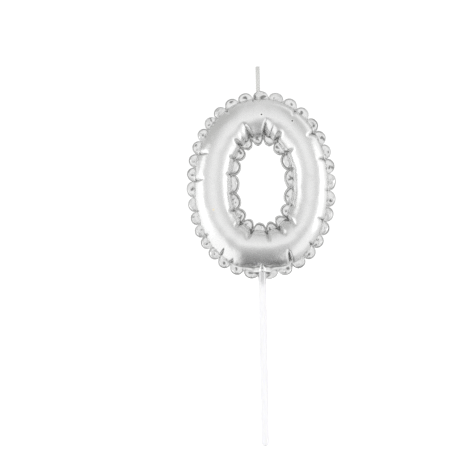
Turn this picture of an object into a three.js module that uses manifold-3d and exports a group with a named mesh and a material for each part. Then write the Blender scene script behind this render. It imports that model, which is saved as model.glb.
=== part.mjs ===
// Number candle: a numeral 0 moulded in wax to look like an inflated foil balloon, with a braided wick
// in the wax and a plastic pick that is pushed into the cake.
// Millimetres. +Z is up, +X is the reader's right and -Y faces the reader. The origin is the pick's tip.
// Angles round the ring start at its top and turn clockwise as the reader sees them.
import * as THREE from "three";
import { mergeVertices } from "three/addons/utils/BufferGeometryUtils.js";
import { ParametricGeometry } from "three/addons/geometries/ParametricGeometry.js";
import Module from "manifold-3d";

// The inflated ring, measured to the seams that its scallops stand on.
const outerHalfWidth = 25.4;
const outerHalfHeight = 32.6;
const holeHalfWidth = 11.3;
const holeHalfHeight = 17.4;
const ringCentreX = 0.25; // the pick stands a little left of the ring's middle
const holeOffsetX = 0.25; // the left limb is a little wider than the right one
const holeOffsetZ = 0.4;
const ringDepth = 13.2;
const upperPower = 2.06; // the outline's superellipse power: 2 is an ellipse, and more is fuller
const lowerPower = 2.24;

// The sealed edges, cut into scallops.
const outerScallops = 34;
const innerScallops = 17;
const outerScallopReach = 2.8;
const innerScallopReach = 3.0;
const outerScallopFill = 0.97; // the share of its pitch that a scallop takes
const innerScallopFill = 1.2; // above 1, they overlap
const edgeThickness = 1.4;
// How many scallops the pattern is ahead of evenly spaced angles: a constant, then the shares that go
// with the cosine and sine of the angle, and of twice the angle.
const outerSpacing = [0.16, 0.29, 0, 0, -0.41];
const innerSpacing = [0.2, 0.04, -0.07, 0.08, -0.05];

// The pick.
const pickRadius = 1.5;
const pickExposed = 65.4;
const pickEmbedded = 9.6;
const pickBarbs = 3;
const pickBarbPitch = 2.4;
const pickBarbHeight = 0.4;
const pickTopChamfer = 0.5;

// The wick, which follows the core of the left limb.
const wickRadius = 0.8;
const wickExposed = 11.8;
const wickX = -0.35;
const wickCollarHeight = 2.6; // wax that climbs the wick where it leaves the ring
const wickCollarWall = 0.2; // at the collar's top
const wickCollarFlare = 0.8; // how much wider its foot is than its top
const wickFirstAngle = 24; // degrees from the top at which it has joined the limb's core
const wickLastAngle = 140;
const wickPoints = 7;
const wickStraight = 3; // how far it runs straight inside the wax before it turns

const clearance = 0.3; // round what is cast into the wax

// How finely the curves are cut.
const ringSteps = 104;
const sectionSteps = 16;
const scallopSides = 16;
const wickSides = 10;
const wickSteps = 28;
const pickSides = 16;
const tipSteps = 2;

const ringCentreZ = pickExposed + outerHalfHeight;
const ringTopZ = ringCentreZ + outerHalfHeight;

const wasm = await Module();
wasm.setup();

// A closed geometry as a manifold-3d solid, for joins and cuts.
function solidFrom(geometry) {
  const bare = geometry.clone();
  bare.deleteAttribute("normal");
  bare.deleteAttribute("uv");
  const merged = mergeVertices(bare, 1e-3);
  return new wasm.Manifold(
    new wasm.Mesh({
      numProp: 3,
      vertProperties: merged.attributes.position.array,
      triVerts: new Uint32Array(merged.index.array),
    }),
  );
}

function geometryFrom(solid) {
  const mesh = solid.getMesh();
  const positions = new Float32Array(mesh.numVert * 3);
  for (let i = 0; i < mesh.numVert; i++)
    positions.set(mesh.vertProperties.subarray(i * mesh.numProp, i * mesh.numProp + 3), i * 3);
  const geometry = new THREE.BufferGeometry();
  geometry.setAttribute("position", new THREE.BufferAttribute(positions, 3));
  geometry.setIndex(new THREE.BufferAttribute(mesh.triVerts, 1));
  geometry.computeVertexNormals();
  return geometry;
}

function meshFrom(name, geometry, colour, roughness, metalness) {
  const material = new THREE.MeshStandardMaterial({ color: colour, roughness, metalness });
  const mesh = new THREE.Mesh(geometry, material);
  mesh.name = name;
  return mesh;
}

// A point of a superellipse in the seam plane.
function outline(angle, halfWidth, halfHeight, centreX, centreZ) {
  const power = Math.cos(angle) > 0 ? upperPower : lowerPower;
  const bend = (value) => Math.sign(value) * Math.abs(value) ** (2 / power);
  return new THREE.Vector3(
    centreX + halfWidth * bend(Math.sin(angle)),
    0,
    centreZ + halfHeight * bend(Math.cos(angle)),
  );
}

const outerSeam = (angle) =>
  outline(angle, outerHalfWidth, outerHalfHeight, ringCentreX, ringCentreZ);
const innerSeam = (angle) =>
  outline(angle, holeHalfWidth, holeHalfHeight, ringCentreX + holeOffsetX, ringCentreZ + holeOffsetZ);
const limbCore = (angle) => outerSeam(angle).lerp(innerSeam(angle), 0.5);

// The inflated tube: an ellipse from seam to seam, carried round the ring.
function inflatedRing() {
  return new ParametricGeometry(
    (u, v, target) => {
      const round = (u % 1) * 2 * Math.PI;
      const section = (v % 1) * 2 * Math.PI;
      const outer = outerSeam(round);
      target.copy(outer).lerp(innerSeam(round), (1 - Math.cos(section)) / 2);
      target.y = (ringDepth / 2) * Math.sin(section);
    },
    ringSteps,
    sectionSteps,
  );
}

// The angle at which the pattern reaches a phase, which grows by one for each of count scallops.
function angleAt(phase, count, spacing) {
  const [constant, cosine, sine, cosineTwice, sineTwice] = spacing;
  let angle = 0;
  for (let i = 0; i < 20; i++) {
    const once = cosine * Math.cos(angle) + sine * Math.sin(angle);
    const twice = cosineTwice * Math.cos(2 * angle) + sineTwice * Math.sin(2 * angle);
    angle = ((phase - constant - once - twice) * 2 * Math.PI) / count;
  }
  return angle;
}

// Outer scallops are centred half way between whole phases, and inner ones at whole phases.
const outerScallopAngle = (index) => angleAt(index + 0.5, outerScallops, outerSpacing);
const innerScallopAngle = (index) => angleAt(index, innerScallops, innerSpacing);

// One scallop: a flat disc centred on the seam, so that its outer half stands out as a round tab.
function scallop(seam, angle, pitchAngle, reach, fill) {
  const centre = seam(angle);
  const before = seam(angle - pitchAngle / 2);
  const along = seam(angle + pitchAngle / 2).sub(before);
  const disc = new THREE.CylinderGeometry(1, 1, edgeThickness, scallopSides);
  disc.scale((along.length() * fill) / 2, 1, reach);
  disc.rotateY(-Math.atan2(along.z, along.x));
  disc.translate(centre.x, centre.y, centre.z);
  return solidFrom(disc);
}

// The wick's route: straight down into the top limb, then along the core of the left limb.
// extra lengthens both ends, for the hole that it lies in.
function wickRoute(extra) {
  const coreRadius = (outerHalfHeight + holeHalfHeight) / 2;
  const lastAngle = wickLastAngle + THREE.MathUtils.radToDeg(extra / coreRadius);
  const points = [
    new THREE.Vector3(wickX, 0, ringTopZ + wickExposed + extra),
    new THREE.Vector3(wickX, 0, ringTopZ + wickExposed / 2),
    new THREE.Vector3(wickX, 0, ringTopZ),
    new THREE.Vector3(wickX, 0, ringTopZ - wickStraight),
  ];
  for (let i = 0; i < wickPoints; i++) {
    const angle = wickFirstAngle + ((lastAngle - wickFirstAngle) * i) / (wickPoints - 1);
    points.push(limbCore(-THREE.MathUtils.degToRad(angle)));
  }
  return new THREE.CatmullRomCurve3(points);
}

function tubeAlong(route, radius) {
  const section = new THREE.Shape().absarc(0, 0, radius, 0, 2 * Math.PI);
  return new THREE.ExtrudeGeometry(section, {
    extrudePath: route,
    steps: wickSteps,
    curveSegments: wickSides / 2,
    bevelEnabled: false,
  });
}

// The wax that climbs the wick, sunk into the ring so that it joins it all round.
function wickCollar() {
  const topRadius = wickRadius + clearance + wickCollarWall;
  const sunk = topRadius + wickCollarFlare;
  const cone = new THREE.CylinderGeometry(
    topRadius,
    topRadius + wickCollarFlare,
    wickCollarHeight + sunk,
    2 * wickSides,
  );
  cone.rotateX(Math.PI / 2);
  cone.translate(wickX, 0, ringTopZ + (wickCollarHeight - sunk) / 2);
  return solidFrom(cone);
}

// The pick's half section from its round tip to its barbed top, all of it swollen by grown.
function pickGeometry(grown) {
  const radius = pickRadius + grown;
  const profile = new THREE.Path();
  profile.absarc(0, pickRadius, radius, -Math.PI / 2, 0, false);
  const points = profile.getPoints(tipSteps);
  points[0].x = 0;
  const topZ = pickExposed + pickEmbedded + grown;
  for (let i = 0; i < pickBarbs; i++) {
    const rootZ = pickExposed + pickEmbedded - (pickBarbs - i) * pickBarbPitch;
    points.push(new THREE.Vector2(radius, rootZ - grown));
    points.push(new THREE.Vector2(radius + pickBarbHeight, rootZ - grown + pickBarbHeight / 2));
    points.push(new THREE.Vector2(radius, rootZ + pickBarbPitch / 2 + grown));
  }
  points.push(new THREE.Vector2(radius, topZ - pickTopChamfer));
  points.push(new THREE.Vector2(radius - pickTopChamfer, topZ));
  points.push(new THREE.Vector2(0, topZ));
  const lathe = new THREE.LatheGeometry(points, pickSides);
  return lathe.rotateX(Math.PI / 2);
}

function candleBody() {
  let body = solidFrom(inflatedRing());
  for (let i = 0; i < outerScallops; i++) {
    const pitchAngle = outerScallopAngle(i + 0.5) - outerScallopAngle(i - 0.5);
    const angle = outerScallopAngle(i);
    body = body.add(scallop(outerSeam, angle, pitchAngle, outerScallopReach, outerScallopFill));
  }
  for (let i = 0; i < innerScallops; i++) {
    const pitchAngle = innerScallopAngle(i + 0.5) - innerScallopAngle(i - 0.5);
    const angle = innerScallopAngle(i);
    body = body.add(scallop(innerSeam, angle, pitchAngle, innerScallopReach, innerScallopFill));
  }
  body = body.add(wickCollar());
  body = body.subtract(solidFrom(tubeAlong(wickRoute(clearance), wickRadius + clearance)));
  body = body.subtract(solidFrom(pickGeometry(clearance)));
  return geometryFrom(body);
}

const candle = new THREE.Group();
candle.add(meshFrom("wax_numeral", candleBody(), 0xc4c4c6, 0.34, 0.85));
candle.add(meshFrom("wick", tubeAlong(wickRoute(0), wickRadius), 0xbdbcb8, 0.9, 0));
candle.add(meshFrom("pick", pickGeometry(0), 0xf2f1f6, 0.35, 0));

export default candle;
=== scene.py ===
"""A number candle: a 0 moulded in wax like an inflated foil balloon, with a wick and a plastic pick.

Sizes are in millimetres and turn into metres as each mesh is made. +Z is up and -Y faces the reader.
Angles round the ring start at its top and turn clockwise as the reader sees them.
"""

import math

import bpy
import numpy as np
from mathutils import Matrix, Vector


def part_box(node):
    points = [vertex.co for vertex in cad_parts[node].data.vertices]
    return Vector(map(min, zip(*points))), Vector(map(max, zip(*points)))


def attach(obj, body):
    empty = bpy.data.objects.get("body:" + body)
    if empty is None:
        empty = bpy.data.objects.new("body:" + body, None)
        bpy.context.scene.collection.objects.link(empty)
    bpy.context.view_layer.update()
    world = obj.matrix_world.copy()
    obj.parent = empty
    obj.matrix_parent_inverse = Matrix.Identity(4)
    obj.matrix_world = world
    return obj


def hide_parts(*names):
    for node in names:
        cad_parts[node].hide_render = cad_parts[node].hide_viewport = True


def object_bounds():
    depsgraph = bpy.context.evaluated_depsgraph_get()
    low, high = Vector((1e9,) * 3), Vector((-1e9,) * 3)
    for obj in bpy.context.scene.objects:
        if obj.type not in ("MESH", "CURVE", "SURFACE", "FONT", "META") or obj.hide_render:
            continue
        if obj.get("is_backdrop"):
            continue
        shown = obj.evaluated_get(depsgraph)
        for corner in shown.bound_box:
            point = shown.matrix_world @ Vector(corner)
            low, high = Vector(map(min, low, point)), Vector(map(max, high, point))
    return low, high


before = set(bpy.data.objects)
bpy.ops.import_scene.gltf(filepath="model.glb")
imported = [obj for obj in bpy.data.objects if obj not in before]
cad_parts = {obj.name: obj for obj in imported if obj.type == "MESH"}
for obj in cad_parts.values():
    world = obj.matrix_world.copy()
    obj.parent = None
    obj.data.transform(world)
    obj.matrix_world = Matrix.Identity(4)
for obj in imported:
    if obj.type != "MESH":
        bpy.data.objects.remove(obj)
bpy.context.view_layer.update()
MM = 0.001

# The ring between its seams, as the frame has it.
OUTER_HALF_WIDTH = 25.4
OUTER_HALF_HEIGHT = 32.6
HOLE_HALF_WIDTH = 11.3
HOLE_HALF_HEIGHT = 17.4
HOLE_OFFSET_X = 0.25
HOLE_OFFSET_Z = 0.4
RING_DEPTH = 13.1
UPPER_POWER = 2.06  # the outline's superellipse power: 2 is an ellipse, and more is fuller
LOWER_POWER = 2.24
LOWEST_SCALLOP = 2.7  # how far the lowest scallop reaches below the seam
BOTTOM_SAG = 0.3  # how far the bottom limb's crest lies towards the hole
UNDULATION = 0.07  # height of the tube's shallow waves: shorter waves are lower
WAVES = 14

# The scalloped edges.
OUTER_SCALLOPS = 34
INNER_SCALLOPS = 17
# How many scallops the pattern is ahead of evenly spaced angles: a constant, then the shares that go
# with the cosine and sine of the angle, and of twice the angle.
OUTER_SPACING = (0.16, 0.29, 0.0, 0.0, -0.41)
INNER_SPACING = (0.20, 0.04, -0.07, 0.08, -0.05)
OUTER_REACH = 2.75
INNER_REACH = 3.0
OUTER_FILL = 1.006  # a scallop's width as a share of its pitch: above 1 they overlap
INNER_FILL = 1.2
DOME_RISE = 0.14  # how much a scallop thickens for each millimetre in from its rim
DOME_WIDTH = 1.5  # and how far in that goes on
ROOT_GROOVE = 0.08  # depth of the groove along the seam, where scallops and tube meet
ROOT_GROOVE_WIDTH = 0.2
POCKET_OUT = 0.8  # where the pit between two scallops lies, and its size
POCKET_LENGTH = 0.6
POCKET_WIDTH = 0.5
LEAST_HEIGHT = 0.03  # half the wax's thickness where it is thinnest
CLOSING = 0.01  # how far in from the rim the two faces have parted
# A scallop's dimple near its root, and its creases: furthest to either side, nearest and furthest out,
# shallowest and deepest, greatest length and greatest turn.
CREASES = [
    (1.0, 0.4, 0.8, -0.2, 0.7, 0.8, 0.9),
    (1.1, 0.9, 1.7, -0.5, 0.4, 1.3, 0.7),
    (1.2, 0.6, 1.6, -0.4, 0.4, 1.2, 1.6),
    (1.6, 0.2, 1.3, -0.5, 0.4, 1.2, 1.6),
]

# The flat sealed edge between the scallops and the tube.
OUTER_FLANGE = 0.25
BOTTOM_FLANGE = 1.4  # how much wider it is at the very bottom
INNER_FLANGE = 0.12
FLANGE_HEIGHT = 0.62  # half its thickness
FLANGE_FADE = 0.5  # how far in from the seam the scallops have become the flange
FLANGE_SLOPE = 0.45  # how far in from a notch it has its full height
OUTER_BLEND = 0.5  # how softly the tube runs into it
INNER_BLEND = 0.6

# Each gather runs from a notch between scallops towards the crest of the tube: notch, length, depth,
# how far its far end leans clockwise, and how wide its shoulders are before and after it, clockwise.
OUTER_GATHERS = [
    (0, 2.4, 0.45, 0.0, 0.5, 0.5),
    (3, 3.4, 0.75, 0.0, 0.9, 0.6),
    (5, 4.2, 1.30, -0.6, 0.7, 1.5),
    (7, 3.6, 1.05, -1.2, 0.7, 0.9),
    (9, 2.2, 0.45, 0.0, 0.5, 0.5),
    (11, 3.7, 1.05, 0.5, 0.5, 1.2),
    (13, 2.3, 1.20, 0.0, 0.5, 0.5),
    (15, 5.8, 2.20, -0.9, 0.5, 0.8),
    (19, 2.8, 0.70, 0.0, 0.6, 0.6),
    (20, 4.2, 1.05, 0.6, 0.4, 0.4),
    (22, 3.0, 0.55, 0.0, 0.7, 0.7),
    (24, 1.6, 0.40, 0.0, 0.5, 0.5),
    (26, 3.8, 1.05, 0.9, 0.4, 1.0),
    (28, 3.8, 1.05, 1.8, 0.4, 1.0),
    (32, 2.8, 0.65, 0.0, 0.8, 0.5),
]
INNER_GATHERS = [
    (0.5, 6.8, 2.20, 0.5, 0.35, 1.5),
    (1.0, 5.2, 0.60, 0.3, 0.8, 0.8),
    (1.5, 4.4, 1.60, 0.3, 0.7, 0.6),
    (2.5, 3.8, 1.10, 0.8, 0.5, 0.6),
    (3.5, 1.6, 0.45, 0.0, 0.5, 0.5),
    (5.5, 1.9, 0.50, 0.0, 0.5, 0.5),
    (6.5, 5.0, 1.50, -0.6, 0.8, 1.2),
    (7.5, 4.8, 1.50, -0.9, 0.8, 0.9),
    (8.5, 4.6, 1.20, -0.6, 0.4, 0.5),
    (9.5, 4.8, 1.60, 0.8, 0.4, 1.0),
    (10.5, 3.9, 1.40, 1.0, 0.5, 0.9),
    (11.5, 2.7, 1.10, 0.9, 0.5, 0.6),
    (12.5, 1.4, 0.40, 0.0, 0.4, 0.4),
    (13.5, 2.5, 0.80, 0.0, 0.4, 0.5),
    (14.5, 2.7, 0.85, 0.0, 0.4, 0.5),
    (15.5, 4.4, 1.60, -0.3, 0.5, 0.6),
    (16.0, 5.2, 0.60, -0.3, 0.8, 0.8),
    (16.5, 6.8, 2.00, -0.8, 1.2, 0.6),
]
FOLD = 0.36  # half width of the sharp fold at the bottom of a gather
FOLD_SHARE = 0.45  # the share of a gather's depth that is in its fold; the rest is in its shoulders
GATHER_START = 0.6  # how far outside its seam a gather begins
NOTCH_PULL = 0.5  # how far a gather draws the scallops' notch in, as a share of its depth
BACK_GATHER_LENGTH = 0.9  # of the front's

# The pick.
PICK_RADIUS = 1.5  # where it enters the wax
TIP_RADIUS = 1.42
PICK_EXPOSED = 65.4
PICK_EMBEDDED = 9.6
PICK_SIDES = 48
PICK_BARBS = 3
BARB_PITCH = 2.4
BARB_HEIGHT = 0.4
BARB_ROUND = 0.12
PICK_TOP_ROUND = 0.5
MOULD_LINE = 0.03

# The wick.
WICK_X = -0.35
WICK_STRAIGHT = 3.0  # how far it runs straight inside the wax before it turns
WICK_FIRST_ANGLE = 24  # degrees from the top at which it has joined the limb's core
WICK_LAST_ANGLE = 140
WICK_POINTS = 7
WICK_STEPS = 420
CORE_RADIUS = 0.62
CORE_SIDES = 12
STRANDS = 4  # that turn each way
BRAID_PITCH = 3.6  # how far a strand runs along the wick in one turn
STRAND_CIRCLE = 0.62
STRAND_WEAVE = 0.09
STRAND_HALF_WIDTH = 0.24
STRAND_HALF_THICKNESS = 0.19
STRAND_SIDES = 8

# The wax drawn up round the wick.
WICK_COLLAR = 0.75  # its radius at the top, from which it flares as it goes down
WICK_COLLAR_FLARE = 1.3
WICK_COLLAR_TOP = 0.8  # above the seam
WICK_COLLAR_LENGTH = 2.5
WICK_COLLAR_EDGE = 0.6  # the height over which its upper edge thins out
WICK_COLLAR_REGION = 6  # how near the ring's top the collar is looked for
COVER_BLEND = 0.3  # how softly the ring runs into the collar and into the wax over the pick

# The wax swollen over the pick, with a small arch in it and a pit in the arch. Heights are above the seam.
PICK_COVER = 1.74  # half its thickness
PICK_COVER_WIDTH = 3.4
PICK_COVER_START = -0.7
PICK_COVER_FADE = 1.0
PICK_COVER_REGION = 6
ARCH_RADIUS = 0.95
ARCH_HEIGHT = 0.5  # of its radius
ARCH_TOP = 4.0
ARCH_TOP_FADE = 2.0
ARCH_START = -0.3
ARCH_START_FADE = 0.7
PIT_HEIGHT = 1.3
PIT_DEPTH = 0.6
PIT_RADIUS = 0.4

# Flaws in the lacquer: x and z from the ring's middle, and radii.
PINHOLES = [(0.35, 25.8), (11.7, 23.3)]
PINHOLE_RADIUS = 0.3
PINHOLE_HALO = 0.8
CHIP = (-18.0, -9.0)
CHIP_RADIUS = 0.4
SPOT_SOFTNESS = 0.3  # how much of a spot's radius its edge takes to either side

# The silver overspray: up to these heights above the ring's top, and from these depths below the seam.
WICK_SILVERED = 2.0
WICK_BARE = 3.4
PICK_SILVERED = 0.5
PICK_BARE = 10.5
CUT_END = 0.35  # how much of the wick's end is darker

# The grain of the materials: how many to a metre.
FLAKES = 6000
PEEL = 900
DENTS = 320
CLOUDS = 90
FIBRES = 5200
BLOTCHES = 700
SPECKLES = 4200
HAZES = 260

# How finely the ring is cut: lines across the tube, and rows on each face.
LINES = 680
LINE_LEAD = 0.1  # of an inner scallop, by which the lines lead at the inner seam
TUBE_ROWS = 32
EDGE_ROWS = [1.0, 0.985, 0.955, 0.92, 0.885, 0.845, 0.8, 0.74, 0.66, 0.55, 0.41, 0.25, 0.1]
OUTER_FLANGE_ROWS = [0.0, 0.25, 0.5, 0.75]
INNER_FLANGE_ROWS = [0.5, 0.0]
NEAR_SEAM = 0.35  # the share of the tube, at each seam, over which the lines gather to the notches
HOLLOW_REACH = 6  # rounds of smoothing that a hollow is measured against

# The picture: the object's box centre stands this far from the middle of a view this wide.
VIEW_WIDTH = 171.4
VIEW_AIM_X = -12.59
VIEW_AIM_Z = 10.74
VIEW_ROLL = 1.05
LENS = 85.0
SENSOR = 36.0

# The studio.
FLOOR_DEPTH = 150.0  # below the pick's tip
FLOOR_HALF_WIDTH = 6000
SIDE_SOFTBOX_X = 520
SIDE_SOFTBOX_Y = -160
SIDE_SOFTBOX_WIDTH = 300
SIDE_SOFTBOX_HEIGHT = 500
FILL_X = 60
FILL_Y = 900
FILL_WIDTH = 1400

numeral_low, numeral_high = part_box("wax_numeral")
RING_X = (numeral_low[0] + numeral_high[0]) / 2 / MM
RING_Z = numeral_low[2] / MM + LOWEST_SCALLOP + OUTER_HALF_HEIGHT
RING_TOP = RING_Z + OUTER_HALF_HEIGHT
WICK_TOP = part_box("wick")[1][2] / MM

random = np.random.default_rng(7)


def add_camera():
    low, high = (np.array(corner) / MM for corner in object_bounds())
    centre = (low + high) / 2
    aim = Vector((centre[0] + VIEW_AIM_X, 0, centre[2] + VIEW_AIM_Z)) * MM
    camera = bpy.data.objects.new("camera", bpy.data.cameras.new("camera"))
    bpy.context.collection.objects.link(camera)
    camera.data.lens = LENS
    camera.data.sensor_width = SENSOR
    camera.data.clip_start = 0.01
    distance = VIEW_WIDTH * MM * LENS / SENSOR
    roll = math.radians(VIEW_ROLL)
    right = Vector((math.cos(roll), 0, -math.sin(roll)))
    up = Vector((math.sin(roll), 0, math.cos(roll)))
    turn = Matrix((right, up, Vector((0, -1, 0)))).transposed()
    camera.matrix_world = Matrix.Translation(aim + Vector((0, -distance, 0))) @ turn.to_4x4()
    bpy.context.scene.camera = camera


def smooth_step(value):
    t = np.clip(value, 0, 1)
    return t * t * (3 - 2 * t)


def smooth_max(a, b, blend):
    overlap = np.maximum(blend - np.abs(a - b), 0)
    return np.maximum(a, b) + overlap * overlap / (4 * blend)


def outline(angle, half_width, half_height, centre_x, centre_z):
    """x and z of a superellipse in the seam plane."""
    sine, cosine = np.sin(angle), np.cos(angle)
    power = np.where(cosine > 0, UPPER_POWER, LOWER_POWER)
    x = centre_x + half_width * np.sign(sine) * np.abs(sine) ** (2 / power)
    z = centre_z + half_height * np.sign(cosine) * np.abs(cosine) ** (2 / power)
    return np.stack([x, z], axis=-1)


def outer_seam(angle):
    return outline(angle, OUTER_HALF_WIDTH, OUTER_HALF_HEIGHT, RING_X, RING_Z)


def inner_seam(angle):
    return outline(
        angle, HOLE_HALF_WIDTH, HOLE_HALF_HEIGHT, RING_X + HOLE_OFFSET_X, RING_Z + HOLE_OFFSET_Z
    )


def seam_out(seam, angle):
    """The unit normal of a seam in its plane, pointing away from the ring's middle."""
    step = 1e-4
    along = seam(angle + step) - seam(angle - step)
    along /= np.linalg.norm(along, axis=-1, keepdims=True)
    return np.stack([-along[..., 1], along[..., 0]], axis=-1)


def seam_speed(seam, angle):
    """How many millimetres of a seam go with one radian."""
    step = 1e-3
    return np.linalg.norm(seam(angle + step) - seam(angle - step)) / (2 * step)


def phase(angle, count, spacing):
    """Grows by one for each of count scallops round the ring."""
    constant, cosine, sine, cosine_twice, sine_twice = spacing
    ahead = constant + cosine * np.cos(angle) + sine * np.sin(angle)
    ahead = ahead + cosine_twice * np.cos(2 * angle) + sine_twice * np.sin(2 * angle)
    return count * angle / (2 * np.pi) + ahead


def outer_phase(angle):
    """Whole at each notch between outer scallops."""
    return phase(angle, OUTER_SCALLOPS, OUTER_SPACING)


def inner_phase(angle):
    """Whole at each inner scallop's middle."""
    return phase(angle, INNER_SCALLOPS, INNER_SPACING)


def angle_at(wanted, phase_of, count):
    """The angle at which phase_of gives the wanted phase, found by repeated correction."""
    angle = 2 * np.pi * np.asarray(wanted, float) / count
    for _ in range(20):
        angle = angle + 2 * np.pi * (wanted - phase_of(angle)) / count
    return angle


def to_notches(even):
    """Phases with their steps gathered to the whole numbers, as even steps round a half circle are."""
    whole = np.floor(even)
    return whole + (1 - np.cos(np.pi * (even - whole))) / 2


class Scallops:
    """The scallops of one edge: their outline, their thickness and the small differences between them."""

    def __init__(
        self, count, reach, fill, offset, bead, crest, groove, groove_change, dome, rim_shade_strength, pocket
    ):
        self.count = count
        self.fill = fill
        self.offset = offset  # added to a phase, it makes the notches whole
        self.bead = bead  # width of the round rim
        self.crest = crest  # half the rim's thickness
        self.groove = groove  # half the thickness of the groove inside the rim
        self.groove_change = groove_change  # how much of the groove is gone on one side
        self.dome = dome  # half the thickness of the middle
        # how strongly painted shade darkens the rim's colour
        self.rim_shade_strength = rim_shade_strength
        self.reach = reach * random.uniform(0.95, 1.0, count)
        self.pocket = pocket * random.uniform(0.3, 1.0, count)  # depth of the pit where two meet
        # Where each crease is, across and out, then its depth, length, breadth and turn.
        self.creases = [
            (
                random.uniform(-spread, spread, count),
                random.uniform(nearest, furthest, count),
                random.uniform(shallowest, deepest, count),
                random.uniform(0.45, length, count),
                random.uniform(0.24, 0.42, count),
                random.uniform(-turned, turned, count),
            )
            for spread, nearest, furthest, shallowest, deepest, length, turned in CREASES
        ]
        self.groove_turn = random.uniform(-math.pi, math.pi, count)
        self.lift = random.uniform(-0.06, 0.12, count)

    def place(self, at):
        """Which scallop a phase is in, how far across it, and its reach, even where two scallops meet."""
        shifted = at + self.offset
        number = np.floor(shifted).astype(int) % self.count
        across = 2 * (shifted - np.floor(shifted)) - 1
        beside = (number + np.sign(across).astype(int)) % self.count
        reach = self.reach[number] + (self.reach[beside] - self.reach[number]) * across**4 / 2
        return number, across / self.fill, reach

    def edge(self, at):
        """How far out the rim is."""
        across, reach = self.place(at)[1:]
        return reach * np.sqrt(1 - across**2)

    def inset(self, at, out):
        """How far a point of a scallop lies inside its rim."""
        across, reach = self.place(at)[1:]
        return np.maximum(1 - np.hypot(across, np.maximum(out, 0) / reach), 0) * reach

    def painted_rim_shade(self, at, out):
        """How much painted shade darkens the lacquer's colour, which is most of all on the rim."""
        return self.rim_shade_strength * smooth_step(1.3 - self.inset(at, out) / (1.6 * self.bead))

    def crease_depth(self, number, beside_middle, out):
        """How deep the dimple and the creases are at a point of a scallop."""
        depth_here = 0
        for across_at, out_at, depth, length, breadth, turn in self.creases:
            beside = beside_middle - across_at[number]
            beyond = out - out_at[number]
            cosine, sine = np.cos(turn[number]), np.sin(turn[number])
            away = ((beside * cosine + beyond * sine) / length[number]) ** 2
            away = away + ((beyond * cosine - beside * sine) / breadth[number]) ** 2
            depth_here = depth_here + depth[number] * np.exp(-away)
        return depth_here

    def height(self, at, out, pitch):
        """Half the thickness, out from the seam: a beaded rim, a groove, a creased dome and the flange."""
        number, across, reach = self.place(at)
        inset = self.inset(at, out)
        wall = self.crest * np.sqrt(1 - np.maximum(1 - inset / self.bead, 0) ** 2)
        fall = smooth_step((inset - self.bead) / self.bead)
        rise = smooth_step((inset - 2 * self.bead) / (1.6 * self.bead))
        around = np.arctan2(out, across * reach) - self.groove_turn[number]
        groove = self.groove + self.groove_change * (1 - np.cos(around))
        dome = self.dome + self.lift[number] + DOME_RISE * np.minimum(inset, DOME_WIDTH)
        height = wall + (groove - self.crest) * fall + (dome - groove) * rise
        height = height - rise * self.crease_depth(number, across * self.fill * pitch / 2, out)
        to_next = (1 - np.abs(across) * self.fill) * pitch / 2
        pocket = np.exp(-((to_next / POCKET_WIDTH) ** 2) - ((out - POCKET_OUT) / POCKET_LENGTH) ** 2)
        height = height - self.pocket[number] * pocket
        root = np.exp(-((out / ROOT_GROOVE_WIDTH) ** 2)) * smooth_step(inset / self.bead)
        height = height - ROOT_GROOVE * root
        inside = inset + np.maximum(-out, 0)
        flange = FLANGE_HEIGHT * smooth_step(inside / FLANGE_SLOPE)
        height = height + (flange - height) * smooth_step(-out / FLANGE_FADE)
        return np.maximum(height, LEAST_HEIGHT) * smooth_step(inside / CLOSING)


def with_covers(height, x, z):
    """The wax drawn up round the wick and swollen over the pick, where it passes through the seam."""
    below_top = RING_TOP + WICK_COLLAR_TOP - z
    radius = WICK_COLLAR + WICK_COLLAR_FLARE * smooth_step(below_top / WICK_COLLAR_LENGTH)
    collar = np.sqrt(np.maximum(radius**2 - (x - WICK_X) ** 2, 0))
    collar = collar * smooth_step((below_top + 2 * WICK_COLLAR_EDGE) / WICK_COLLAR_EDGE)
    with_collar = smooth_max(height, collar, COVER_BLEND)
    height = np.where(np.abs(z - RING_TOP) < WICK_COLLAR_REGION, with_collar, height)
    above_seam = z - PICK_EXPOSED
    swelling = PICK_COVER * np.exp(-((x / PICK_COVER_WIDTH) ** 2))
    swelling = swelling * smooth_step((above_seam - PICK_COVER_START) / PICK_COVER_FADE)
    with_swelling = smooth_max(height, swelling, COVER_BLEND)
    height = np.where(above_seam < PICK_COVER_REGION, with_swelling, height)
    arch = ARCH_RADIUS * smooth_step((ARCH_TOP - above_seam) / ARCH_TOP_FADE)
    arch = arch * smooth_step((above_seam - ARCH_START) / ARCH_START_FADE)
    height = height + ARCH_HEIGHT * np.sqrt(np.maximum(arch**2 - x**2, 0))
    from_pit = x**2 + (above_seam - PIT_HEIGHT) ** 2
    return height - PIT_DEPTH * np.exp(-from_pit / PIT_RADIUS**2)


def mirrored(gathers, count):
    """The back's own gathers: the front's, seen in a mirror and a little shorter."""
    return [
        (count - notch, BACK_GATHER_LENGTH * length, depth, -lean, after, before)
        for notch, length, depth, lean, before, after in gathers
    ]


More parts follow.
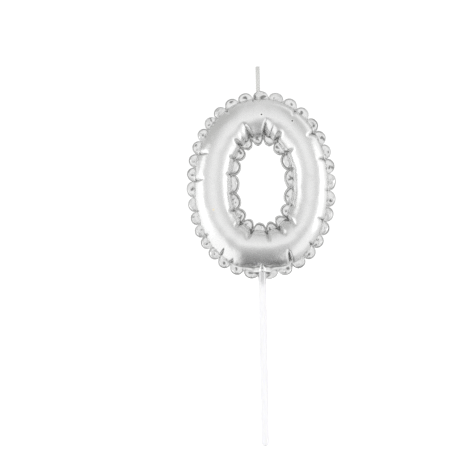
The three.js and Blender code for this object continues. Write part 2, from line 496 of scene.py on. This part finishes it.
class Edge:
    """An edge of the ring on one face: its seam, its scallops, its gathers and where the lines cross it."""

    def __init__(self, seam, phase_of, scallops, gathers, outward, lead):
        self.seam = seam
        self.phase_of = phase_of
        self.scallops = scallops
        self.gathers = gathers
        self.outward = outward  # 1 where scallops point away from the ring's middle, -1 where at it
        count = scallops.count
        at = np.arange(LINES) * count / LINES + lead
        self.even = angle_at(at, phase_of, count)  # the lines' angles, evenly spaced
        gathered = to_notches(at + scallops.offset) - scallops.offset
        self.close = angle_at(gathered, phase_of, count)  # and gathered to the notches
        step = np.pi / count
        self.pitch = np.linalg.norm(seam(self.close + step) - seam(self.close - step), axis=-1)

    def sink(self, angle, from_seam):
        """How far this edge's gathers sink the surface at these angles and distances from the seam."""
        sink = np.zeros_like(angle)
        for notch, length, depth, lean, before, after in self.gathers:
            start = float(angle_at(notch, self.phase_of, self.scallops.count))
            run = np.clip(from_seam / length, 0, 1)
            turn = (angle - start + np.pi) % (2 * np.pi) - np.pi
            across = turn * seam_speed(self.seam, start) - lean * run
            fold = np.exp(-np.abs(across) / FOLD)
            shoulders = np.exp(-((across / np.where(across < 0, before, after)) ** 2))
            valley = FOLD_SHARE * fold + (1 - FOLD_SHARE) * shoulders
            sink += depth * valley * (1 - run**2) * smooth_step((from_seam + GATHER_START) / GATHER_START)
        return sink

    def height(self, angle, out):
        return self.scallops.height(self.phase_of(angle), out, self.pitch)

    def rim_rows(self, shares, side):
        """Rows of points over the scallops, at these shares of their reach."""
        at = self.phase_of(self.close)
        reach = self.scallops.edge(at)
        normal = seam_out(self.seam, self.close) * self.outward
        pull = NOTCH_PULL * self.sink(self.close, np.zeros_like(self.close))
        rows = []
        for share in shares:
            out = share * reach
            plane = self.seam(self.close) + normal * (out - pull)[:, None]
            height = with_covers(self.height(self.close, out), plane[:, 0], plane[:, 1]) * (share < 1)
            rim_shade = self.scallops.painted_rim_shade(at, out)
            rows.append(np.stack([plane[:, 0], side * height, plane[:, 1], rim_shade], axis=-1))
        return rows


def undulation(angle, across, seed):
    """Shallow unevenness of the tube, made of waves round the ring and across it, the same each run."""
    waves = np.random.default_rng(seed)
    total = np.zeros_like(angle)
    for _ in range(WAVES):
        round_ring = waves.integers(3, 22)
        over = waves.uniform(0.5, 2.5)
        shift = waves.uniform(0, 2 * np.pi, 2)
        size = UNDULATION / (1 + round_ring / 8)
        total += size * np.sin(round_ring * angle + shift[0]) * np.sin(over * across + shift[1])
    return total


def tube_rows(side, outer, inner, seed):
    """Rows of points over the tube and the flanges beside it, from the outer seam to the inner one."""
    band = np.linalg.norm(outer.seam(outer.even) - inner.seam(inner.even), axis=-1)
    flange = OUTER_FLANGE + BOTTOM_FLANGE * np.maximum(-np.cos(outer.even), 0) ** 16

    def row(from_outer, section):
        """One row, at a distance from the outer seam and an angle round the tube's section."""
        over = from_outer / band
        inside = (1 - math.cos(section)) / 2
        near_outer = smooth_step(1 - over / NEAR_SEAM)
        near_inner = smooth_step(1 - (1 - over) / NEAR_SEAM)
        from_start = outer.even + (outer.close - outer.even) * near_outer
        from_end = inner.even + (inner.close - inner.even) * near_inner
        angle = from_start * (1 - over) + from_end * over
        first, last = outer.seam(angle), inner.seam(angle)
        spans = np.linalg.norm(first - last, axis=-1)
        out = (first - last) / spans[:, None]
        sag = 1 + BOTTOM_SAG * np.maximum(-np.cos(angle), 0) ** 3
        skewed = inside**sag
        rise = np.sqrt(np.maximum(1 - (2 * skewed - 1) ** 2, 0))
        depth = RING_DEPTH / 2 * (spans / spans.max()) ** 0.5
        lean = (1 - 2 * skewed) / ((spans - flange - INNER_FLANGE) / 2)
        normal = np.stack([lean, rise / depth], axis=-1)
        normal /= np.linalg.norm(normal, axis=-1, keepdims=True)
        sink = outer.sink(angle, from_outer) + inner.sink(angle, band - from_outer)
        move = undulation(angle, section, seed) * rise - sink
        # Close to the seams, where the tube stands upright, it moves less.
        move = move * smooth_step(rise / 0.25 + 0.4)
        plane = first + (last - first) * over[:, None] + out * (normal[:, 0] * move)[:, None]
        height = depth * rise + normal[:, 1] * move
        if over.mean() > 0.5:
            height = smooth_max(height, inner.height(angle, from_outer - band), INNER_BLEND)
        else:
            height = smooth_max(height, outer.height(angle, -from_outer), OUTER_BLEND)
        height = with_covers(height, plane[:, 0], plane[:, 1])
        return np.stack([plane[:, 0], side * height, plane[:, 1], 0 * height], axis=-1)

    rows = [row(share * flange, 0) for share in OUTER_FLANGE_ROWS]
    for section in math.pi * np.arange(TUBE_ROWS + 1) / TUBE_ROWS:
        inside = (1 - math.cos(section)) / 2
        rows.append(row(flange + inside * (band - flange - INNER_FLANGE), section))
    return rows + [row(band - share * INNER_FLANGE, math.pi) for share in INNER_FLANGE_ROWS]


def face_rows(side, outer_scallops, inner_scallops, seed):
    """One face of the numeral as rows of points, from the outer edge over the tube to the inner edge.

    A point is x, y and z, and how much painted shade darkens the lacquer there.
    """
    outer_gathers, inner_gathers = OUTER_GATHERS, INNER_GATHERS
    if side > 0:
        outer_gathers = mirrored(OUTER_GATHERS, OUTER_SCALLOPS)
        inner_gathers = mirrored(INNER_GATHERS, INNER_SCALLOPS)
    outer = Edge(outer_seam, outer_phase, outer_scallops, outer_gathers, 1, 0)
    inner = Edge(inner_seam, inner_phase, inner_scallops, inner_gathers, -1, LINE_LEAD)
    rows = outer.rim_rows(EDGE_ROWS, side)
    rows += tube_rows(side, outer, inner, seed)
    return rows + inner.rim_rows(EDGE_ROWS[::-1], side)


def grid_mesh(name, points):
    """A quad mesh over a grid of points in millimetres that closes on itself both ways."""
    rows, columns = points.shape[:2]
    index = np.arange(rows * columns).reshape(rows, columns)
    below = np.roll(index, -1, 0)
    corners = [index, below, np.roll(below, -1, 1), np.roll(index, -1, 1)]
    quads = np.stack(corners, axis=-1).reshape(-1, 4)
    mesh = bpy.data.meshes.new(name)
    mesh.from_pydata((points.reshape(-1, 3) * MM).tolist(), [], quads.tolist())
    mesh.validate()
    mesh.shade_smooth()
    return mesh


def add_object(name, mesh, material):
    piece = bpy.data.objects.new(name, mesh)
    bpy.context.collection.objects.link(piece)
    piece.data.materials.append(material)
    return piece


def hollowness(points):
    """How far each point of a grid that closes on itself lies below its surroundings, in millimetres."""
    smooth = points
    for _ in range(HOLLOW_REACH):
        smooth = sum(np.roll(smooth, step, axis) for axis in (0, 1) for step in (1, -1)) / 4
    along = np.roll(points, -1, 1) - np.roll(points, 1, 1)
    across = np.roll(points, -1, 0) - np.roll(points, 1, 0)
    normal = np.cross(across, along)
    normal /= np.linalg.norm(normal, axis=-1, keepdims=True) + 1e-9
    return np.sum((smooth - points) * normal, axis=-1)


def make_numeral(material):
    outer = Scallops(
        OUTER_SCALLOPS, OUTER_REACH, OUTER_FILL, offset=0.0, bead=0.2, crest=0.6,
        groove=0.28, groove_change=0.1, dome=0.42, rim_shade_strength=0.35, pocket=0.0,
    )
    inner = Scallops(
        INNER_SCALLOPS, INNER_REACH, INNER_FILL, offset=0.5, bead=0.38, crest=0.8,
        groove=0.36, groove_change=0.1, dome=0.5, rim_shade_strength=0.6, pocket=0.6,
    )
    front = face_rows(-1, outer, inner, seed=3)
    back = face_rows(1, outer, inner, seed=4)
    # The two faces share their edge rows.
    points = np.array(front + back[-2:0:-1])
    rim_shade, points = points[..., 3], points[..., :3]
    mesh = grid_mesh("wax_numeral_shell", points)
    for name, values in (("hollow", hollowness(points)), ("painted_rim_shade", rim_shade)):
        mesh.attributes.new(name, "FLOAT", "POINT").data.foreach_set("value", values.ravel())
    return add_object("wax_numeral_shell", mesh, material)


def smooth_curve(points, steps):
    """Evenly spaced points of a centripetal Catmull-Rom curve through the given ones, and how far each is."""
    points = np.array(points, float)
    points = np.vstack([2 * points[0] - points[1], points, 2 * points[-1] - points[-2]])
    dense = []

    def between(t, early, late, first, second):
        """The point at t on the line that is at first when t is early, and at second when it is late."""
        return (late - t) / (late - early) * first + (t - early) / (late - early) * second

    for i in range(len(points) - 3):
        p = points[i : i + 4]
        knots = np.concatenate([[0], np.cumsum(np.linalg.norm(np.diff(p, axis=0), axis=1) ** 0.5)])
        for t in np.linspace(knots[1], knots[2], 40, endpoint=i == len(points) - 4):
            a = [between(t, knots[j], knots[j + 1], p[j], p[j + 1]) for j in range(3)]
            b = [between(t, knots[j], knots[j + 2], a[j], a[j + 1]) for j in range(2)]
            dense.append(between(t, knots[1], knots[2], b[0], b[1]))
    dense = np.array(dense)
    travelled = np.concatenate([[0], np.cumsum(np.linalg.norm(np.diff(dense, axis=0), axis=1))])
    wanted = np.linspace(0, travelled[-1], steps)
    return np.stack([np.interp(wanted, travelled, dense[:, k]) for k in range(3)], axis=1), wanted


def wick_route():
    """From the wick's cut end down into the top limb, then along the core of the left limb."""
    points = [
        (WICK_X, 0, WICK_TOP),
        (WICK_X, 0, (WICK_TOP + RING_TOP) / 2),
        (WICK_X, 0, RING_TOP),
        (WICK_X, 0, RING_TOP - WICK_STRAIGHT),
    ]
    for degrees in np.linspace(WICK_FIRST_ANGLE, WICK_LAST_ANGLE, WICK_POINTS):
        angle = -math.radians(degrees)
        x, z = (outer_seam(angle) + inner_seam(angle)) / 2
        points.append((x, 0, z))
    return points


def make_wick(material):
    """A round braid of eight strands over a core, cut straight across."""
    route, travelled = smooth_curve(wick_route(), WICK_STEPS)
    along = np.gradient(route, axis=0)
    along /= np.linalg.norm(along, axis=1, keepdims=True)
    across = np.broadcast_to([0.0, 1.0, 0.0], along.shape)
    beside = np.cross(along, across)
    points, faces = [], []

    def add_tube(centres, first, second, half_first, half_second, sides):
        """A capped tube: an ellipse on the directions first and second at each centre."""
        start = len(points)
        turn = 2 * np.pi * np.arange(sides)[:, None] / sides
        for centre, one, two in zip(centres, first, second):
            ring = centre + half_first * np.cos(turn) * one + half_second * np.sin(turn) * two
            points.extend(ring.tolist())
        for i in range(len(centres) - 1):
            for j in range(sides):
                a, b = start + i * sides + j, start + i * sides + (j + 1) % sides
                faces.append((a, a + sides, b + sides, b))
        faces.append(tuple(start + j for j in range(sides)))
        last = start + (len(centres) - 1) * sides
        faces.append(tuple(last + j for j in reversed(range(sides))))

    add_tube(route, beside, across, CORE_RADIUS, CORE_RADIUS, CORE_SIDES)
    for direction in (1, -1):
        weave = direction * STRAND_WEAVE * np.cos(2 * STRANDS * np.pi * travelled / BRAID_PITCH)
        for strand in range(STRANDS):
            turn = direction * 2 * np.pi * (travelled / BRAID_PITCH + strand / STRANDS)
            out = np.cos(turn)[:, None] * beside + np.sin(turn)[:, None] * across
            round_it = np.cross(along, out)
            centres = route + (STRAND_CIRCLE + weave)[:, None] * out
            add_tube(centres, round_it, out, STRAND_HALF_WIDTH, STRAND_HALF_THICKNESS, STRAND_SIDES)
    mesh = bpy.data.meshes.new("braided_wick")
    mesh.from_pydata((np.array(points) * MM).tolist(), [], faces)
    mesh.validate()
    mesh.shade_smooth()
    return add_object("braided_wick", mesh, material)


def pick_profile():
    """Radius and height up the pick: its round tip, its slight taper, and its barbs in the wax."""
    top = PICK_EXPOSED + PICK_EMBEDDED
    profile = []
    for angle in np.linspace(0, math.pi / 2, 9)[1:]:
        profile.append((TIP_RADIUS * math.sin(angle), TIP_RADIUS * (1 - math.cos(angle))))
    for share in np.linspace(0, 1, 13)[1:]:
        z = TIP_RADIUS + share * (PICK_EXPOSED - TIP_RADIUS)
        profile.append((TIP_RADIUS + share * (PICK_RADIUS - TIP_RADIUS), z))
    for barb in range(PICK_BARBS):
        root = top - (PICK_BARBS - barb) * BARB_PITCH
        profile.append((PICK_RADIUS, root - 0.05))
        for angle in np.linspace(0, math.pi / 2, 4):
            radius = PICK_RADIUS + BARB_HEIGHT - BARB_ROUND * (1 - math.sin(angle))
            profile.append((radius, root + BARB_ROUND * (1 - math.cos(angle))))
        profile.append((PICK_RADIUS, root + BARB_PITCH / 2))
    for angle in np.linspace(0, math.pi / 2, 5):
        radius = PICK_RADIUS - PICK_TOP_ROUND * (1 - math.cos(angle))
        profile.append((radius, top - PICK_TOP_ROUND * (1 - math.sin(angle))))
    return profile


def make_pick(material):
    """The pick turned about its axis, with its mould line on both sides."""
    turn = 2 * np.pi * np.arange(PICK_SIDES) / PICK_SIDES
    mould_line = MOULD_LINE * (np.abs(np.cos(turn)) > 0.999)
    profile = pick_profile()
    points = [(0.0, 0.0, 0.0)]
    for radius, z in profile:
        grown = radius + mould_line
        ring = np.stack([grown * np.cos(turn), grown * np.sin(turn), np.full(PICK_SIDES, z)], axis=1)
        points += ring.tolist()
    points.append((0.0, 0.0, PICK_EXPOSED + PICK_EMBEDDED))
    faces = []
    for j in range(PICK_SIDES):
        k = (j + 1) % PICK_SIDES
        faces.append((0, 1 + k, 1 + j))
        for i in range(len(profile) - 1):
            a, b = 1 + i * PICK_SIDES, 1 + (i + 1) * PICK_SIDES
            faces.append((a + j, a + k, b + k, b + j))
        last = 1 + (len(profile) - 1) * PICK_SIDES
        faces.append((last + j, last + k, len(points) - 1))
    mesh = bpy.data.meshes.new("moulded_pick")
    mesh.from_pydata((np.array(points) * MM).tolist(), [], faces)
    mesh.validate()
    mesh.shade_smooth()
    return add_object("moulded_pick", mesh, material)


class Shader:
    """A node tree with short calls for the nodes that the materials here use."""

    def __init__(self, holder):
        holder.use_nodes = True
        self.tree = holder.node_tree
        self.tree.nodes.clear()

    def add(self, kind, **settings):
        """A node, with its properties or its inputs set by name."""
        node = self.tree.nodes.new(kind)
        for name, value in settings.items():
            if hasattr(node, name):
                setattr(node, name, value)
            else:
                self.set(node.inputs[name], value)
        return node

    def set(self, socket, value):
        if isinstance(value, bpy.types.NodeSocket):
            self.tree.links.new(value, socket)
        else:
            socket.default_value = value

    def place(self):
        return self.add("ShaderNodeTexCoord").outputs["Object"]

    def split(self, vector):
        """x, y and z of a vector."""
        parts = self.add("ShaderNodeSeparateXYZ")
        self.set(parts.inputs[0], vector)
        return parts.outputs

    def math(self, operation, *values):
        node = self.tree.nodes.new("ShaderNodeMath")
        node.operation = operation
        for socket, value in zip(node.inputs, values):
            self.set(socket, value)
        return node.outputs[0]

    def ramp(self, value, *stops):
        """Values between the stops (place, value) of a smooth ramp."""
        node = self.tree.nodes.new("ShaderNodeValToRGB")
        node.color_ramp.interpolation = "EASE"
        elements = node.color_ramp.elements
        elements[0].position, elements[1].position = stops[0][0], stops[-1][0]
        for place, _ in stops[1:-1]:
            elements.new(place)
        for element, (_, level) in zip(elements, stops):
            element.color = (level, level, level, 1)
        self.set(node.inputs[0], value)
        return node.outputs[0]

    def step(self, value, start, end):
        """0 on the start's side and 1 on the end's side, smooth between them, in millimetres."""
        node = self.add("ShaderNodeMapRange", interpolation_type="SMOOTHSTEP")
        for socket, setting in zip(node.inputs, (value, start * MM, end * MM, 0.0, 1.0)):
            self.set(socket, setting)
        return node.outputs[0]

    def noise(self, coordinate, scale, detail=3.0, roughness=0.5):
        node = self.add("ShaderNodeTexNoise")
        self.set(node.inputs["Vector"], coordinate)
        self.set(node.inputs["Scale"], scale)
        self.set(node.inputs["Detail"], detail)
        self.set(node.inputs["Roughness"], roughness)
        return node.outputs["Fac"]

    def bump(self, height, strength, distance, normal=None):
        node = self.add("ShaderNodeBump")
        self.set(node.inputs["Height"], height)
        self.set(node.inputs["Strength"], strength)
        self.set(node.inputs["Distance"], distance)
        if normal is not None:
            self.set(node.inputs["Normal"], normal)
        return node.outputs["Normal"]

    def mix_colour(self, factor, first, second):
        """First at factor 0 and second at factor 1. A colour is red, green and blue, or a socket."""
        node = self.add("ShaderNodeMix", data_type="RGBA")
        self.set(node.inputs[0], factor)
        for socket, colour in ((node.inputs[6], first), (node.inputs[7], second)):
            self.set(socket, colour if isinstance(colour, bpy.types.NodeSocket) else (*colour, 1))
        return node.outputs[2]

    def finish(self, shader, kind="Material"):
        output = self.add("ShaderNodeOutput" + kind)
        self.tree.links.new(shader.outputs[0], output.inputs["Surface"])


def studio_walls(shader, z, forward, outwards):
    """Light in front, dark below, grey to both sides, and darker in the upper corners."""
    # Over the top and under the floor: 0.5 in front, 0.75 overhead, 0.25 straight down.
    elevation = shader.math("MULTIPLY_ADD", shader.math("ARCTAN2", z, forward), 0.5 / math.pi, 0.5)
    below = [(0.0, 0.5), (0.12, 0.2), (0.22, 0.18), (0.31, 0.28), (0.38, 0.45), (0.44, 0.62)]
    ahead = [(0.475, 0.86), (0.505, 1.05), (0.55, 0.97), (0.67, 0.84)]
    above = [(0.75, 0.74), (0.86, 0.76), (1.0, 0.6)]
    vertical = shader.ramp(elevation, *below, *ahead, *above)
    to_side = shader.ramp(outwards, (0.1, 0.0), (0.6, 1.0))
    walls = shader.mix_colour(to_side, vertical, (0.8, 0.8, 0.8))
    corner = shader.ramp(shader.math("MULTIPLY", outwards, z), (0.1, 0.0), (0.45, 1.0))
    return shader.mix_colour(shader.math("MULTIPLY", corner, 0.75), walls, (0.48, 0.48, 0.47))


def with_side_softboxes(shader, walls, x, z, forward, outwards):
    """White softboxes round both sides: the left one hangs low and reaches back, and the right is higher."""
    up = shader.math("MAXIMUM", z, 0.0)
    down = shader.math("MAXIMUM", shader.math("MULTIPLY", z, -1.0), 0.0)
    # Round the sides: 0 in front, 0.5 at the side, 1 behind.
    bearing = shader.math("MULTIPLY", shader.math("ARCTAN2", outwards, forward), 1 / math.pi)
    left = shader.ramp(shader.math("MULTIPLY_ADD", x, 0.5, 0.5), (0.4, 1.0), (0.6, 0.0))
    lowered = shader.math("MULTIPLY_ADD", shader.math("MULTIPLY", up, left), -2.3, 1.0)
    lowered = shader.math("MULTIPLY", lowered, shader.math("MULTIPLY_ADD", up, -0.3, 1.0))
    reached = shader.math("MULTIPLY", bearing, shader.math("MULTIPLY_ADD", down, 2.6, 1.0))
    near_edge = shader.ramp(shader.math("MULTIPLY", reached, lowered), (0.2, 0.0), (0.5, 1.0))
    # Straight up and straight down the bearing has no meaning, so the softboxes stop before that.
    off_axis = shader.ramp(outwards, (0.08, 0.0), (0.38, 1.0))
    near_edge = shader.math("MULTIPLY", near_edge, off_axis)
    cut_back = shader.math("MULTIPLY", down, shader.math("MULTIPLY_ADD", left, -0.28, 0.28))
    reach_back = shader.math("ADD", shader.math("MULTIPLY_ADD", left, -0.12, bearing), cut_back)
    far_edge = shader.ramp(reach_back, (0.6, 1.0), (0.74, 0.0))
    softbox = shader.mix_colour(left, (1.08, 1.08, 1.08), (1.18, 1.18, 1.18))
    return shader.mix_colour(shader.math("MULTIPLY", near_edge, far_edge), walls, softbox)


def light_world():
    """White to the camera, and a studio to the object, which is what its silver reflects."""
    world = bpy.data.worlds.new("studio")
    bpy.context.scene.world = world
    shader = Shader(world)
    x, y, z = shader.split(shader.add("ShaderNodeTexCoord").outputs["Generated"])
    forward = shader.math("MULTIPLY", y, -1.0)
    outwards = shader.math("ABSOLUTE", x)
    walls = studio_walls(shader, z, forward, outwards)
    level = with_side_softboxes(shader, walls, x, z, forward, outwards)
    studio = shader.add("ShaderNodeBackground")
    shader.set(studio.inputs["Color"], level)
    plain = shader.add("ShaderNodeBackground")
    plain.inputs["Color"].default_value = (1, 1, 1, 1)
    plain.inputs["Strength"].default_value = 1.1
    path = shader.add("ShaderNodeLightPath")
    mix = shader.add("ShaderNodeMixShader")
    shader.set(mix.inputs[0], path.outputs["Is Camera Ray"])
    shader.set(mix.inputs[1], studio.outputs[0])
    shader.set(mix.inputs[2], plain.outputs[0])
    shader.finish(mix, "World")
    bpy.context.scene.view_settings.view_transform = "Standard"


def add_softbox(name, x, y, width, height, level, glossy=True):
    """An area light level with the ring's middle and aimed at it. Its power follows its size."""
    light = bpy.data.lights.new(name, "AREA")
    light.shape = "RECTANGLE"
    light.size, light.size_y = width * MM, height * MM
    light.energy = level * math.pi * light.size * light.size_y
    lamp = bpy.data.objects.new(name, light)
    bpy.context.collection.objects.link(lamp)
    place, target = Vector((x, y, RING_Z)) * MM, Vector((RING_X, 0, RING_Z)) * MM
    lamp.location = place
    lamp.rotation_euler = (target - place).to_track_quat("-Z", "Y").to_euler()
    lamp.visible_camera = False
    lamp.visible_glossy = glossy


def light_object():
    for name, x in (("softbox_left", -SIDE_SOFTBOX_X), ("softbox_right", SIDE_SOFTBOX_X)):
        add_softbox(name, x, SIDE_SOFTBOX_Y, SIDE_SOFTBOX_WIDTH, SIDE_SOFTBOX_HEIGHT, 0.5)
    # Only the plain pieces show these two.
    add_softbox("fill_for_plain_pieces", -FILL_X, -FILL_Y, FILL_WIDTH, FILL_WIDTH, 0.7, glossy=False)
    add_softbox("fill_behind", FILL_X, FILL_Y, FILL_WIDTH, FILL_WIDTH, 0.45, glossy=False)


def add_floor():
    material = bpy.data.materials.new("floor_paper")
    shader = Shader(material)
    bsdf = shader.add("ShaderNodeBsdfPrincipled")
    bsdf.inputs["Base Color"].default_value = (0.92, 0.92, 0.92, 1)
    bsdf.inputs["Roughness"].default_value = 0.9
    bsdf.inputs["Emission Color"].default_value = (1, 1, 1, 1)
    bsdf.inputs["Emission Strength"].default_value = 0.8
    shader.finish(bsdf)
    corners = [(x * FLOOR_HALF_WIDTH, y * FLOOR_HALF_WIDTH) for x, y in ((-1, -1), (1, -1), (1, 1), (-1, 1))]
    mesh = bpy.data.meshes.new("floor")
    mesh.from_pydata([(x * MM, y * MM, -FLOOR_DEPTH * MM) for x, y in corners], [], [(0, 1, 2, 3)])
    floor = add_object("floor", mesh, material)
    floor.visible_glossy = False
    floor.visible_diffuse = False
    floor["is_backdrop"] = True


def spot(shader, place, x, z, radius):
    """1 inside a round spot on the front, at x and z from the ring's middle, and 0 outside it."""
    parts = shader.split(place)
    beside = shader.math("SUBTRACT", parts["X"], (RING_X + x) * MM)
    above = shader.math("SUBTRACT", parts["Z"], (RING_Z + z) * MM)
    squares = shader.math("POWER", beside, 2.0), shader.math("POWER", above, 2.0)
    away = shader.math("SQRT", shader.math("ADD", *squares))
    inside = shader.step(away, radius * (1 + SPOT_SOFTNESS), radius * (1 - SPOT_SOFTNESS))
    return shader.math("MULTIPLY", inside, shader.math("LESS_THAN", parts["Y"], 0.0))


def silver_wax():
    """Satin silver lacquer, with painted shade in the hollows and on the scallops' rims, with pinholes and a
    chip.
    """
    material = bpy.data.materials.new("silver_lacquer_on_wax")
    shader = Shader(material)
    place = shader.place()
    flakes = shader.noise(place, FLAKES, 2)
    peel = shader.noise(place, PEEL, 3)
    cloud = shader.noise(place, CLOUDS, 4)
    dents = shader.noise(place, DENTS, 3)
    normal = shader.bump(dents, 0.22, 0.0006)
    normal = shader.bump(peel, 0.08, 0.00012, normal)
    normal = shader.bump(flakes, 0.06, 0.00003, normal)
    hollow = shader.add("ShaderNodeAttribute", attribute_name="hollow").outputs["Fac"]
    rim_shade = shader.add("ShaderNodeAttribute", attribute_name="painted_rim_shade").outputs["Fac"]
    # Painted shade: the base colour darkens where the surface lies below its surroundings.
    shadow = shader.ramp(shader.math("MULTIPLY", hollow, 5.0), (0.08, 0.0), (0.6, 1.0))
    colour = shader.mix_colour(cloud, (0.80, 0.80, 0.80), (0.88, 0.88, 0.875))
    # Painted shade: the base colour greys on the scallops' rims, most of all round the hole.
    colour = shader.mix_colour(shader.math("MULTIPLY", rim_shade, 0.7), colour, (0.36, 0.36, 0.35))
    colour = shader.mix_colour(shader.math("MULTIPLY", shadow, 0.75), colour, (0.14, 0.14, 0.135))
    for x, z in PINHOLES:
        halo = shader.math("MULTIPLY", spot(shader, place, x, z, PINHOLE_HALO), 0.4)
        colour = shader.mix_colour(halo, colour, (0.97, 0.97, 0.96))
        colour = shader.mix_colour(spot(shader, place, x, z, PINHOLE_RADIUS), colour, (0.12, 0.115, 0.11))
    chip = spot(shader, place, *CHIP, CHIP_RADIUS)
    colour = shader.mix_colour(chip, colour, (0.82, 0.72, 0.52))
    bsdf = shader.add("ShaderNodeBsdfPrincipled")
    shader.set(bsdf.inputs["Base Color"], colour)
    shader.set(bsdf.inputs["Metallic"], shader.math("MULTIPLY_ADD", chip, -0.8, 0.95))
    shader.set(bsdf.inputs["Roughness"], shader.math("MULTIPLY_ADD", peel, 0.1, 0.22))
    shader.set(bsdf.inputs["Normal"], normal)
    shader.finish(bsdf)
    return material


def waxed_cotton():
    """Cotton stiffened with wax, with silver overspray at its root and a darker cut end."""
    material = bpy.data.materials.new("waxed_cotton")
    shader = Shader(material)
    place = shader.place()
    fibre = shader.noise(place, FIBRES, 4, 0.7)
    blotch = shader.noise(place, BLOTCHES, 3)
    up = shader.split(place)["Z"]
    silvered = shader.step(up, RING_TOP + WICK_BARE, RING_TOP + WICK_SILVERED)
    cut = shader.step(up, WICK_TOP - CUT_END, WICK_TOP - 0.05)
    colour = shader.mix_colour(fibre, (0.50, 0.50, 0.485), (0.74, 0.74, 0.725))
    colour = shader.mix_colour(shader.math("MULTIPLY", blotch, 0.5), colour, (0.80, 0.80, 0.79))
    colour = shader.mix_colour(shader.math("MULTIPLY", cut, 0.5), colour, (0.30, 0.30, 0.29))
    colour = shader.mix_colour(silvered, colour, (0.84, 0.84, 0.84))
    bsdf = shader.add("ShaderNodeBsdfPrincipled")
    shader.set(bsdf.inputs["Base Color"], colour)
    shader.set(bsdf.inputs["Metallic"], shader.math("MULTIPLY", silvered, 0.85))
    shader.set(bsdf.inputs["Roughness"], shader.math("MULTIPLY_ADD", silvered, -0.3, 0.72))
    shader.set(bsdf.inputs["Normal"], shader.bump(fibre, 0.5, 0.00006))
    shader.finish(bsdf)
    return material


def milky_plastic():
    """Translucent moulded plastic, dusted with silver where it leaves the wax."""
    material = bpy.data.materials.new("milky_plastic")
    shader = Shader(material)
    place = shader.place()
    speckle = shader.noise(place, SPECKLES, 3, 0.7)
    haze = shader.noise(place, HAZES, 3)
    up = shader.split(place)["Z"]
    near_wax = shader.step(up, PICK_EXPOSED - PICK_BARE, PICK_EXPOSED - PICK_SILVERED)
    dusted = shader.math("MULTIPLY_ADD", speckle, 0.8, shader.math("MULTIPLY", near_wax, 0.5))
    silvered = shader.ramp(dusted, (0.6, 0.0), (0.85, 0.85))
    colour = shader.mix_colour(haze, (0.90, 0.895, 0.925), (0.955, 0.95, 0.97))
    colour = shader.mix_colour(silvered, colour, (0.66, 0.66, 0.66))
    bsdf = shader.add("ShaderNodeBsdfPrincipled")
    shader.set(bsdf.inputs["Base Color"], colour)
    shader.set(bsdf.inputs["Metallic"], silvered)
    shader.set(bsdf.inputs["Roughness"], shader.math("MULTIPLY_ADD", haze, 0.14, 0.26))
    bsdf.inputs["Subsurface Weight"].default_value = 0.35
    bsdf.inputs["Subsurface Radius"].default_value = (0.002, 0.002, 0.0022)
    shader.set(bsdf.inputs["Normal"], shader.bump(haze, 0.15, 0.0001))
    shader.finish(bsdf)
    return material


def main():
    add_camera()
    light_world()
    light_object()
    add_floor()
    numeral = make_numeral(silver_wax())
    wick = make_wick(waxed_cotton())
    pick = make_pick(milky_plastic())
    for piece, node, slot in (
        (numeral, "wax_numeral", "silver_wax"),
        (wick, "wick", "waxed_cotton"),
        (pick, "pick", "milky_plastic"),
    ):
        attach(piece, "root")
        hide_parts(node)


main()
